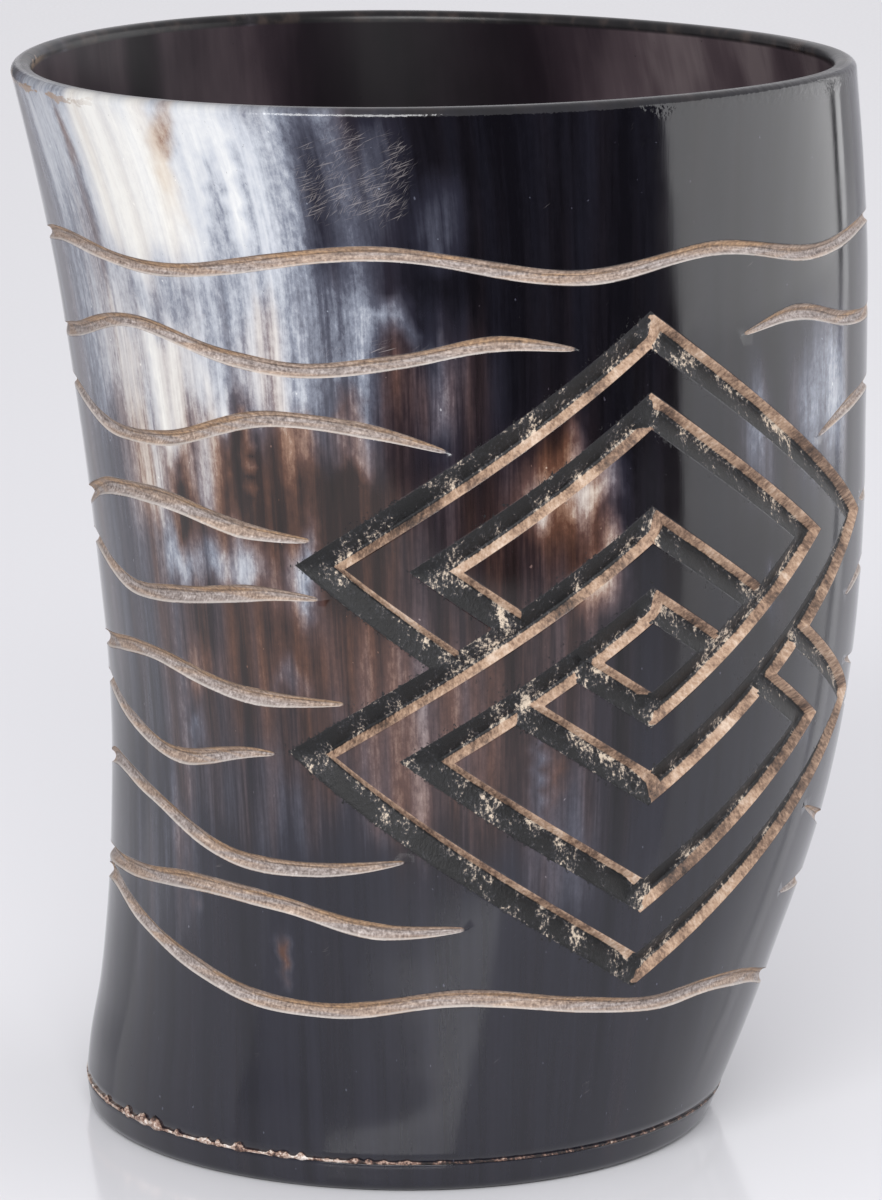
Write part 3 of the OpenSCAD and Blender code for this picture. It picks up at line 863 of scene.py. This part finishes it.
def disc_radius(loop, height):
    """Radius of the disc, with its rounded lower edge."""
    low = skin_radius(disc_skin, loop, DISC_EDGE_RADIUS)
    high = skin_radius(disc_skin, loop, DISC_TOP)
    full = low + (high - low) * (height - DISC_EDGE_RADIUS) / (DISC_TOP - DISC_EDGE_RADIUS)
    if height >= DISC_EDGE_RADIUS:
        return full - SKIN_INSET
    drop = DISC_EDGE_RADIUS - height
    return full - SKIN_INSET - DISC_EDGE_RADIUS + math.sqrt(DISC_EDGE_RADIUS ** 2 - drop ** 2)


def glue_swell(loop):
    """How far the glue stands out of the seam round the cup, in lumps where it was squeezed out."""
    swell = []
    for bearing in loop:
        angle = math.radians(bearing)
        spot = Vector((math.cos(angle) * 17.0, math.sin(angle) * 17.0, 0.3))
        coarse = noise.noise(spot)
        fine = noise.noise(spot * 3.1 + Vector((4.0, 1.0, 2.0)))
        amount = 0.04
        for middle, reach, most in GLUE_LUMPS:
            amount += most * math.exp(-((wrap(bearing - middle) / reach) ** 2))
        swell.append(amount * max(0.03, 0.18 + 1.6 * coarse + 1.6 * fine))
    return np.array(swell)


def build_glue(material):
    """The glue in the seam between the horn and the disc, squeezed out in crumbs at the left."""
    loop = loop_bearings(GLUE_POINTS)
    swell = glue_swell(loop)
    wall = skin_radius(outer_skin, loop, HORN_LOW) - SKIN_INSET
    bore = skin_radius(bore_skin, loop, HORN_LOW) + 0.02
    sink = wall - 0.25
    rise = 0.12 + 0.75 * swell
    out = 0.02 + 0.22 * swell
    rings = (
        (bore, HORN_LOW - 0.02),
        (sink, HORN_LOW + 0.02),
        (wall - 0.02, HORN_LOW + rise),
        (wall + out * 0.8 + 0.12 * rise, HORN_LOW + rise * 0.72),
        (wall + out + 0.05 * rise, HORN_LOW + rise * 0.25),
        (wall + out * 0.7, HORN_LOW - 0.12),
        (wall - 0.03, HORN_LOW - 0.16 - 0.2 * swell),
        (sink, DISC_TOP - 0.03),
        (bore, DISC_TOP + 0.02),
    )
    build_hoop("glue_seam", loop, rings, material, "glue_line")


def build_bead(material):
    """The resin bead inside, between the plug and the horn."""
    loop = loop_bearings()
    corner = skin_radius(bore_skin, loop, HORN_LOW) + 0.02
    high = skin_radius(inner_skin, loop, BEAD_TOP) + 0.02
    toe = corner - BEAD_WIDTH
    rings = [(corner, PLUG_TOP), (high, BEAD_TOP)]
    steps = 10
    for step in range(1, steps + 1):
        share = step / steps
        out = (1.0 - share) ** 2
        radius = corner + out * (high - corner) + share ** 2 * (toe - corner)
        rings.append((radius, PLUG_TOP + out * (BEAD_TOP - PLUG_TOP)))
    build_hoop("resin_bead", loop, rings, material, "sealing_bead")


def build_hoop(name, loop, rings, material, node):
    """A closed ring, from rings of radius and height round its section."""
    points, heights, numbers = stack_rings(loop, rings)
    faces = join_rings(numbers + numbers[:1], flipped=True)
    hoop = add_piece(name, points, faces, material, node)
    add_vectors(hoop, "fibre", fibre_places(np.tile(loop, len(rings)), heights))


# Materials

class Value:
    """A number, vector or colour inside a material. Sums of values lay out the nodes for them."""

    def __init__(self, paint, socket):
        self.paint = paint
        self.socket = socket

    def __add__(self, other):
        return self.paint.sum("ADD", self, other)

    def __mul__(self, other):
        return self.paint.sum("MULTIPLY", self, other)

    def __abs__(self):
        return self.paint.sum("ABSOLUTE", self)

    def at_least(self, other):
        return self.paint.sum("MAXIMUM", self, other)

    def parts(self):
        split = self.paint.node("ShaderNodeSeparateXYZ", {0: self}, None)
        return [Value(self.paint, socket) for socket in split.outputs]

    def noise(self, detail=2.0, roughness=0.5):
        """Noise with a grain of one unit of this vector, between about 0 and 1."""
        inputs = {"Vector": self, "Scale": 1.0, "Detail": detail, "Roughness": roughness}
        return self.paint.node("ShaderNodeTexNoise", inputs, "Fac")

    def grain(self, across, along=None, detail=2.0, roughness=0.5):
        """Noise with so many grains to a unit of this vector across the fibres and along them."""
        scales = (across, across, along or across)
        stretched = self.paint.node("ShaderNodeVectorMath", {0: self, 1: scales},
                                    operation="MULTIPLY")
        return stretched.noise(detail, roughness)

    def swing(self, amount):
        """Noise turned into a value round zero."""
        return (self + -0.5) * amount

    def band(self, low, high, start=0.0, end=1.0):
        """Smooth change from start to end while this value goes from low to high."""
        inputs = {"Value": self, "From Min": low, "From Max": high, "To Min": start, "To Max": end}
        return self.paint.node("ShaderNodeMapRange", inputs, "Result",
                               interpolation_type="SMOOTHSTEP")

    def ramp(self, *stops):
        """Colours, given as sRGB numbers up to 255, at rising places."""
        made = self.paint.node("ShaderNodeValToRGB", {0: self}, None)
        elements = made.color_ramp.elements
        while len(elements) < len(stops):
            elements.new(0.5)
        for element, (spot, colour) in zip(elements, stops):
            element.position = spot
            element.color = (*linear(colour), 1.0)
        return Value(self.paint, made.outputs[0])


class Paint:
    """Lays out the nodes of a material or of the surroundings."""

    def __init__(self, owner):
        self.owner = owner
        owner.use_nodes = True
        self.tree = owner.node_tree
        self.tree.nodes.clear()

    def node(self, kind, inputs=None, output=0, **settings):
        """Output of a new node, or the node, with its inputs given by name or number."""
        made = self.tree.nodes.new(kind)
        for key, value in settings.items():
            setattr(made, key, value)
        for key, value in (inputs or {}).items():
            self.put(made.inputs[key], value)
        return made if output is None else Value(self, made.outputs[output])

    def put(self, socket, value):
        if isinstance(value, Value):
            self.tree.links.new(value.socket, socket)
        elif socket.type == "RGBA":
            socket.default_value = (*value, 1.0)
        else:
            socket.default_value = value

    def attribute(self, name):
        return self.node("ShaderNodeAttribute", output="Vector", attribute_name=name)

    def place(self):
        """Place in the object's own metres."""
        return self.node("ShaderNodeTexCoord", output="Object")

    def join(self, x, y, z):
        return self.node("ShaderNodeCombineXYZ", {0: x, 1: y, 2: z})

    def sum(self, kind, *values):
        return self.node("ShaderNodeMath", dict(enumerate(values)), operation=kind)

    def mix(self, share, first, second):
        return self.node("ShaderNodeMix", {0: share, 6: first, 7: second}, 2, data_type="RGBA")

    def bump(self, height, depth, normal=None):
        """Surface relief. The depth is in millimetres."""
        inputs = {"Height": height, "Strength": 1.0, "Distance": depth * MM}
        if normal:
            inputs["Normal"] = normal
        return self.node("ShaderNodeBump", inputs)

    def shader(self, **inputs):
        """Ends the material with its shader and gives the material back."""
        named = {key.replace("_", " "): value for key, value in inputs.items()}
        shown = self.node("ShaderNodeBsdfPrincipled", named)
        self.node("ShaderNodeOutputMaterial", {0: shown}, None)
        return self.owner


def new_paint(name):
    return Paint(bpy.data.materials.new(name))


def linear(colour):
    """sRGB numbers up to 255 as linear light."""
    made = []
    for value in colour:
        share = value / 255.0
        made.append(share / 12.92 if share <= 0.04045 else ((share + 0.055) / 1.055) ** 2.4)
    return tuple(made)


COLD_HORN = (
    (0.0, (13, 12, 17)), (0.16, (36, 36, 46)), (0.36, (77, 79, 91)), (0.56, (125, 130, 142)),
    (0.76, (184, 188, 195)), (1.0, (224, 224, 221)),
)
WARM_HORN = (
    (0.0, (15, 11, 11)), (0.16, (42, 29, 26)), (0.36, (86, 58, 46)), (0.56, (134, 103, 85)),
    (0.76, (192, 175, 158)), (1.0, (224, 219, 207)),
)


def horn_streaks(fibre):
    """Streaks along the fibres, round zero: broad, medium and hair-fine, and a cloudy mottle."""
    fine = fibre.grain(3.0, 0.14, roughness=0.6)
    streaks = fibre.grain(0.24, 0.012).swing(1.0) + fibre.grain(0.6, 0.026).swing(1.15)
    return streaks + fine.swing(0.55), fine, fibre.grain(1.5, 0.8, 6.0, 0.75)


def horn_colour(paint, fibre, look):
    """Colour of polished horn from its paleness, warmth and streakiness."""
    paleness, warmth, streaky = look.parts()
    streaks, fine, mottle = horn_streaks(fibre)
    pale = paleness + streaks * streaky
    cloudy = pale.band(0.12, 0.5, 0.05, 0.62) * pale.band(0.55, 0.85, 1.0, 0.35)
    pale = pale + mottle.swing(1.0) * cloudy
    pale = pale + fibre.grain(2.3, 1.6, 0.0).band(0.86, 0.9, 0.0, 0.25)
    warm = (warmth + fibre.grain(0.3, 0.02).swing(1.0)).band(0.1, 0.95)
    return paint.mix(warm, pale.ramp(*COLD_HORN), pale.ramp(*WARM_HORN)), fine


def wave_colour(paint, wave, fibre):
    """Colour inside the wavy lines: tan upper wall, dark thread, pale fibrous lower wall, with
    painted shade along the upper edge and a painted highlight along the lower edge.
    """
    inside, side, along = wave.parts()
    height = fibre.parts()[2]
    fibres = paint.join(along * 0.16, side * 3.2, 0.0).noise(4.0, 0.7)
    grain = paint.join(along * 1.1, side * 2.2, height * 0.3).noise(5.0, 0.7)
    value = fibres.swing(0.9) + grain.swing(0.9) + fibre.grain(3.2).swing(0.9)
    pale = (value + 0.5).ramp(
        (0.0, (62, 54, 52)), (0.3, (116, 105, 100)), (0.55, (156, 145, 140)),
        (0.8, (194, 185, 181)), (1.0, (226, 220, 217)))
    tan = (value + 0.5).ramp(
        (0.0, (76, 58, 48)), (0.4, (148, 120, 96)), (0.7, (190, 156, 122)),
        (1.0, (224, 198, 168)))
    come_and_go = paint.join(along * 0.05, height, 0.0).noise()
    upper = (side + value * 0.45).band(0.05, 0.35) * come_and_go.band(0.4, 0.6, 0.45, 1.0)
    golden = come_and_go.band(0.42, 0.62, 0.0, 0.45)
    colour = paint.mix(upper, paint.mix(golden, pale, tan), tan)
    thread = abs(side + -0.3 + fibres.swing(0.9)).band(0.03, 0.16, 0.5, 0.0)
    colour = paint.mix(thread, colour, linear((40, 32, 28)))
    # Painted shade: a dark line along the upper edge of each wavy line, where the groove's upper
    # wall is in shadow.
    painted_edge_shade = (side + value * 0.15).band(0.84, 1.04, 0.0, 0.6)
    colour = paint.mix(painted_edge_shade, colour, linear((56, 42, 36)))
    # Painted highlight: a pale line along the lower edge of each wavy line, where its polished
    # rounded lip catches the light.
    wear_and_highlight = (side + value * 0.2).band(-0.98, -0.78, 0.6, 0.0)
    return paint.mix(wear_and_highlight, colour, linear((206, 200, 194))), value


def cut_colour(paint, cut, fibre):
    """Colour inside the ornament: charcoal wide wall with tan spots, and tan narrow wall."""
    inside, facet, dust = cut.parts()
    coarse = fibre.grain(0.3, 0.22, 5.0, 0.7)
    grit = fibre.grain(2.8, 2.4, 3.0, 0.7)
    near_tan = facet.band(-0.9, 0.1, 0.16, 0.40)
    charcoal = (coarse.swing(3.8) + grit.swing(2.6) + near_tan).ramp(
        (0.0, (8, 8, 10)), (0.35, (20, 20, 23)), (0.55, (44, 44, 49)),
        (0.72, (122, 112, 102)), (1.0, (206, 190, 170)))
    value = coarse.swing(1.5) + grit.swing(1.1)
    tan = (value + fibre.grain(0.14, 0.12, 3.0).swing(1.6) + 0.5).ramp(
        (0.0, (48, 38, 34)), (0.3, (112, 88, 72)), (0.6, (172, 142, 118)),
        (1.0, (214, 192, 172)))
    narrow = (facet + value * 0.12).band(0.10, 0.18)
    return paint.mix(narrow, charcoal, tan), value


def horn_material():
    """Polished, lacquered horn, matt and pale where it is carved."""
    paint = new_paint("horn")
    names = ("fibre", "look", "wave", "cut", "part")
    fibre, look, wave, cut, part = [paint.attribute(name) for name in names]
    colour, fine = horn_colour(paint, fibre, look)
    within, lip, scuffed = part.parts()
    colour = paint.mix(within, colour, inside_of_horn(fibre))
    colour = paint.mix(lip * 0.85, colour, lip_colour(fibre))
    colour = worn_edge(paint, colour, fibre, within)
    colour = scratches(paint, colour, fibre, scuffed)
    cut_in, facet, dust = cut.parts()
    dusty = dust * 0.42 + fibre.grain(2.6, 2.0, 4.0, 0.7).swing(2.0)
    dusty = dusty.band(0.4, 0.46)
    colour = paint.mix(dusty, colour, linear((16, 15, 18)))
    wave_mask = wave.parts()[0].band(0.35, 0.8)
    cut_mask = cut_in.band(0.35, 0.8)
    wave_shade, wave_value = wave_colour(paint, wave, fibre)
    cut_shade, cut_value = cut_colour(paint, cut, fibre)
    colour = paint.mix(wave_mask, colour, wave_shade)
    colour = paint.mix(cut_mask, colour, cut_shade)
    carved = wave_mask.at_least(cut_mask)
    matt = carved.at_least(dusty * 0.6)
    gloss = fibre.grain(0.12, 0.08, 4.0, 0.6).band(0.3, 0.7, 0.07, 0.13)
    roughness = gloss + matt * 0.5 + within * 0.2 + lip * 0.2
    shine = within * -0.43 + 0.5 + lip * -0.26
    relief = paint.bump(fibre.grain(0.14, 0.07, 1.0), 0.05)
    relief = lip_relief(paint, fibre, relief)
    relief = paint.bump(fine * (carved * -1.0 + 1.0), 0.0015, relief)
    relief = paint.bump(wave_value * wave_mask + cut_value * cut_mask, 0.09, relief)
    return paint.shader(Base_Color=colour, Roughness=roughness, IOR=1.5, Normal=relief,
                        Specular_IOR_Level=shine)


def lip_colour(fibre):
    return fibre.grain(0.35, detail=4.0).ramp(
        (0.3, (10, 9, 11)), (0.52, (24, 21, 22)), (0.7, (60, 50, 46)))


def lip_relief(paint, fibre, relief):
    """Uneven lacquer along the front of the lip."""
    front, right, height = fibre.parts()
    near_lip = height.band(117.2, 119.0) * front.band(-2.0, 8.0)
    return paint.bump(fibre.grain(1.3) * near_lip, 0.06, relief)


def worn_edge(paint, colour, fibre, within):
    """Tan places where the outer edge of the lip is worn, mostly at the left."""
    front, right, height = fibre.parts()
    spots = fibre.grain(0.35, 0.9, 4.0, 0.7)
    wear_and_highlight = (spots + abs(height + -118.8) * -0.25).band(0.42, 0.48)
    outer = (within * -1.0 + 1.0) * front.band(-4.0, 6.0)
    wear_and_highlight = wear_and_highlight * (outer * right.band(-36.0, -26.0, 1.0, 0.0))
    return paint.mix(wear_and_highlight, colour, linear((150, 128, 108)))


def scratches(paint, colour, fibre, scuffed):
    """Thin pale scratches that cross the fibres where the horn is scuffed."""
    front, right, height = fibre.parts()
    marks = None
    scuffed = (scuffed + fibre.grain(0.2, 0.16).swing(1.8)).band(0.1, 1.0)
    least = scuffed.band(0.0, 1.0, 0.76, 0.60)
    for lean, seed in ((0.32, 0.0), (0.5, 57.0), (0.8, 31.0), (1.7, 83.0)):
        across = (right * lean + height * -1.0) * 8.0 + seed
        along = (right + height * lean) * 0.3
        mark = paint.join(across, along, seed).noise(1.0) + least * -1.0
        mark = mark.band(0.0, 0.14)
        marks = marks.at_least(mark) if marks else mark
    marks = marks * scuffed.band(0.0, 0.4) * 0.36
    return paint.mix(marks, colour, linear((178, 170, 168)))


def inside_of_horn(fibre):
    """Colour of the inside of the cup: brown-black with soft streaks, with painted light on its
    right half and at its far left, and a darker band near the left.
    """
    front, right, height = fibre.parts()
    value = fibre.grain(0.11, 0.05, 3.0).swing(0.8) + fibre.grain(0.9, 0.08, 3.0, 0.6).swing(0.14)
    # Painted light: the right half and the far left of the inside are lightened, and a narrow
    # darker band runs near the left.
    value = value + right.band(4.0, 34.0, 0.0, 0.62) + right.band(-24.0, -13.0, 0.45, 0.0)
    value = value + abs(right + 35.5).band(0.5, 3.0, -0.5, 0.0)
    return (value + 0.26).ramp(
        (0.0, (12, 9, 13)), (0.35, (26, 20, 25)), (0.6, (44, 36, 41)), (0.85, (70, 60, 64)),
        (1.0, (96, 86, 88)))


def foot_material():
    """Polished dark horn of the foot disc."""
    paint = new_paint("foot_horn")
    fibre = paint.attribute("fibre")
    colour, fine = horn_colour(paint, fibre, paint.attribute("look"))
    relief = paint.bump(fibre.grain(0.14, detail=1.0), 0.05)
    relief = paint.bump(fine, 0.0015, relief)
    roughness = fibre.grain(0.3, detail=4.0).band(0.3, 0.7, 0.08, 0.16)
    return paint.shader(Base_Color=colour, Roughness=roughness, IOR=1.5, Normal=relief)


def glue_material():
    """Dried tan glue, crumbly and matt, with dark dirt in it."""
    paint = new_paint("glue")
    fibre = paint.attribute("fibre")
    coarse = fibre.grain(0.5, 0.8, 4.0, 0.7)
    grit = fibre.grain(3.0, 3.0, 3.0, 0.7)
    squeezed = fibre.parts()[1].band(-20.0, 4.0, 0.62, 0.2)
    value = coarse.swing(3.0) + grit.swing(1.6)
    colour = (value + squeezed).ramp(
        (0.0, (26, 20, 20)), (0.3, (66, 50, 46)), (0.5, (134, 102, 88)), (0.72, (192, 168, 152)),
        (1.0, (232, 222, 214)))
    relief = paint.bump(value, 0.12)
    return paint.shader(Base_Color=colour, Roughness=0.6, IOR=1.5, Normal=relief)


def resin_material():
    """Clear resin over dark horn, with a few bubbles."""
    paint = new_paint("resin")
    fibre = paint.attribute("fibre")
    colour = fibre.grain(0.4, detail=3.0).ramp((0.3, (30, 22, 18)), (0.7, (78, 60, 46)))
    relief = paint.bump(fibre.grain(1.5, detail=1.0).band(0.66, 0.74), 0.06)
    return paint.shader(Base_Color=colour, Roughness=0.06, IOR=1.5, Coat_Weight=0.5, Normal=relief)


# Studio

def table_material():
    """Smooth pale table top, with painted light that makes it paler towards the back."""
    paint = new_paint("table")
    where = paint.place()
    near = where.grain(3.0).ramp((0.3, (235, 235, 238)), (0.7, (237, 237, 240)))
    x, y, z = where.parts()
    # Painted light: the table is lightened towards the back.
    colour = paint.mix(y.band(0.1, 1.4), near, linear((249, 249, 250)))
    roughness = where.grain(900.0).band(0.3, 0.7, 0.10, 0.14)
    return paint.shader(Base_Color=colour, Roughness=roughness, IOR=1.4)


def build_table():
    """A pale table top whose front edge lies in front of the cup, out of the picture."""
    points = []
    for row in range(TABLE_ROWS + 1):
        for column in range(TABLE_COLUMNS + 1):
            x = TABLE_HALF_WIDTH * (2.0 * column / TABLE_COLUMNS - 1.0)
            y = TABLE_FRONT + (TABLE_BACK - TABLE_FRONT) * row / TABLE_ROWS
            points.append((x / MM, y / MM, 0.0))
    faces = grid_faces(TABLE_ROWS, TABLE_COLUMNS)
    table = add_piece("studio_table", points, faces, table_material())


def card_material(name, dark, light):
    """Matt card with a faint weave."""
    paint = new_paint(name)
    colour = paint.place().grain(40.0).ramp((0.3, dark), (0.7, light))
    return paint.shader(Base_Color=colour, Roughness=0.9, IOR=1.2)


def build_card(name, start, end, radius, levels, columns, material):
    """A card bent round the cup from one bearing to another, seen only in reflections."""
    points = []
    for column in range(columns + 1):
        angle = math.radians(start + (end - start) * column / columns)
        for level in levels:
            points.append((radius * math.sin(angle), -radius * math.cos(angle), level))
    card = add_piece(name, points, grid_faces(columns, len(levels) - 1), material)
    for ray in ("camera", "diffuse", "shadow", "transmission"):
        setattr(card, "visible_" + ray, False)


def build_dark_card():
    """A dark card in front of the table."""
    material = card_material("dark_card", (9, 9, 10), (13, 13, 14))
    build_card("studio_dark_card", -66.0, 66.0, 620.0, (-460.0, -200.0, 0.0, 250.0), 40, material)


def build_side_card(name, start, end, shade):
    """A grey card behind the cup at one side."""
    dark = (shade - 4.0, shade - 4.0, shade)
    light = (shade + 4.0, shade + 4.0, shade + 8.0)
    build_card(name, start, end, 900.0, (-300.0, 500.0), 16, card_material(name, dark, light))


def add_panel(name, bearing, elevation, distance, width, height, radiance):
    """A soft light panel that faces the middle of the cup. Lengths are in metres."""
    light = bpy.data.lights.new(name, "AREA")
    light.shape = "RECTANGLE"
    light.size = width
    light.size_y = height
    light.energy = radiance * math.pi * width * height
    panel = bpy.data.objects.new(name, light)
    bpy.context.scene.collection.objects.link(panel)
    around = math.radians(bearing)
    up = math.radians(elevation)
    level = math.cos(up)
    away = Vector((math.sin(around) * level, -math.cos(around) * level, math.sin(up)))
    panel.location = Vector(CUP_MIDDLE) + away * distance
    panel.rotation_euler = away.to_track_quat("Z", "Y").to_euler()
    panel.visible_camera = False


def build_lights():
    add_panel("key_panel", bearing=-10.0, elevation=30.0, distance=1.2, width=0.945,
              height=0.337, radiance=12.0)
    add_panel("right_panel", bearing=102.0, elevation=11.0, distance=0.9, width=1.24,
              height=0.62, radiance=1.75)


def build_world():
    """Pale surroundings, brighter to the eye and in reflections than as light."""
    world = bpy.data.worlds.new("studio")
    bpy.context.scene.world = world
    paint = Paint(world)
    path = paint.node("ShaderNodeLightPath", output=None)
    rays = ("Is Camera Ray", "Is Glossy Ray", "Is Transmission Ray")
    camera, glossy, through = [Value(paint, path.outputs[ray]) for ray in rays]
    shades = []
    for strength in (SURROUND_LIGHT, 1.0):
        inputs = {"Color": SURROUND_COLOUR, "Strength": strength}
        shades.append(paint.node("ShaderNodeBackground", inputs))
    seen = camera.at_least(glossy).at_least(through)
    shown = paint.node("ShaderNodeMixShader", {0: seen, 1: shades[0], 2: shades[1]})
    paint.node("ShaderNodeOutputWorld", {0: shown}, None)


def build_camera():
    camera = bpy.data.cameras.new("camera")
    camera.lens = CAMERA_LENS
    camera.sensor_width = 36.0
    camera.clip_start = 0.01
    camera.clip_end = 50.0
    holder = bpy.data.objects.new("camera", camera)
    bpy.context.scene.collection.objects.link(holder)
    holder.location = CAMERA_PLACE
    holder.rotation_euler = (math.radians(90.0 - CAMERA_DIP), 0.0, 0.0)
    bpy.context.scene.camera = holder


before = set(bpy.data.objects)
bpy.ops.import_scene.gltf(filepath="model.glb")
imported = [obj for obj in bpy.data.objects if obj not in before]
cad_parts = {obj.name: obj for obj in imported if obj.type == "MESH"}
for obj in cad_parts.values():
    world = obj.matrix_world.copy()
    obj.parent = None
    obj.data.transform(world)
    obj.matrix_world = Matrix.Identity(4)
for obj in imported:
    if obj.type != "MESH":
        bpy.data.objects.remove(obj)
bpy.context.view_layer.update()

outer_skin = skin_of(cad_rings("horn_wall", 1, HORN_LOW, LIP_LOW))
inner_skin = skin_of(cad_rings("horn_wall", -1, BEAD_TOP, LIP_LOW))
bore_skin = skin_of(cad_rings("horn_wall", -1, HORN_LOW, PLUG_TOP))
disc_skin = skin_of(cad_rings("foot_disc", 1, DISC_EDGE_RADIUS, DISC_TOP))
plug_skin = skin_of(cad_rings("foot_disc", 1, DISC_TOP, PLUG_TOP))

WAVE_SPANS = wave_spans()

build_horn(horn_material())
build_disc(foot_material())
build_glue(glue_material())
build_bead(resin_material())
build_table()
build_dark_card()
build_side_card("studio_left_card", -128.0, -166.0, 120.0)
build_side_card("studio_right_card", 146.0, 166.0, 205.0)
build_side_card("studio_right_edge", 127.5, 131.0, 70.0)
build_lights()
build_world()
build_camera()
bpy.context.scene.view_settings.view_transform = "Standard"
bpy.context.view_layer.update()
